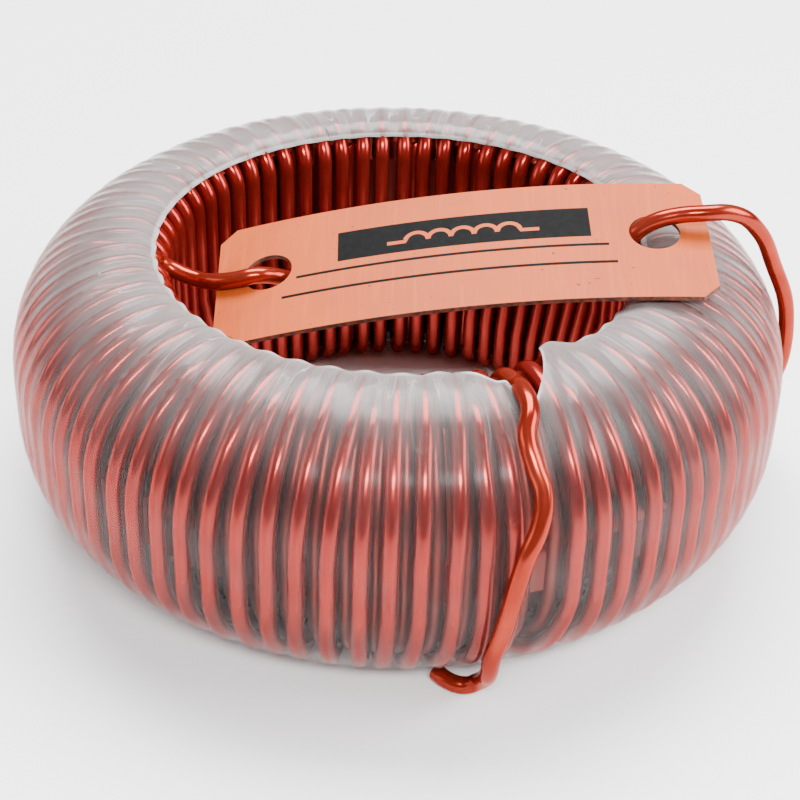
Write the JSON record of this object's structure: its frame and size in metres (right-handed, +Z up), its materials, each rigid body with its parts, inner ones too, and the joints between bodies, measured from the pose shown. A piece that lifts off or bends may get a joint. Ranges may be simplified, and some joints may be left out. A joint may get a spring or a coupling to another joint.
{
  "type": "toroidal inductor",
  "caption": "Ring-shaped inductor: enamelled wire wound in two layers on a ring core, wrapped in milky shrunk film, with a two-hole tag threaded on one lead.",
  "frame": {"origin": "centre of the ring on the plane it lies on", "axes": "+Z up along the ring's axis, towards the tag; +X towards the side where the finish lead goes over the ring; -Y towards the start lead"},
  "size_m": [0.082, 0.0808, 0.0358],
  "materials": {
    "core": "dark matt coating",
    "wire": "glossy red-brown enamel on copper",
    "film": "milky translucent shrunk film",
    "tag": "copper-coloured satin face"
  },
  "bodies": {
    "root": {"ring_core": "core", "inner_layer": "wire", "outer_layer": "wire", "start_lead": "wire", "finish_lead": "wire", "shrink_film": "film", "tag": "tag"}
  },
  "joints": []
}
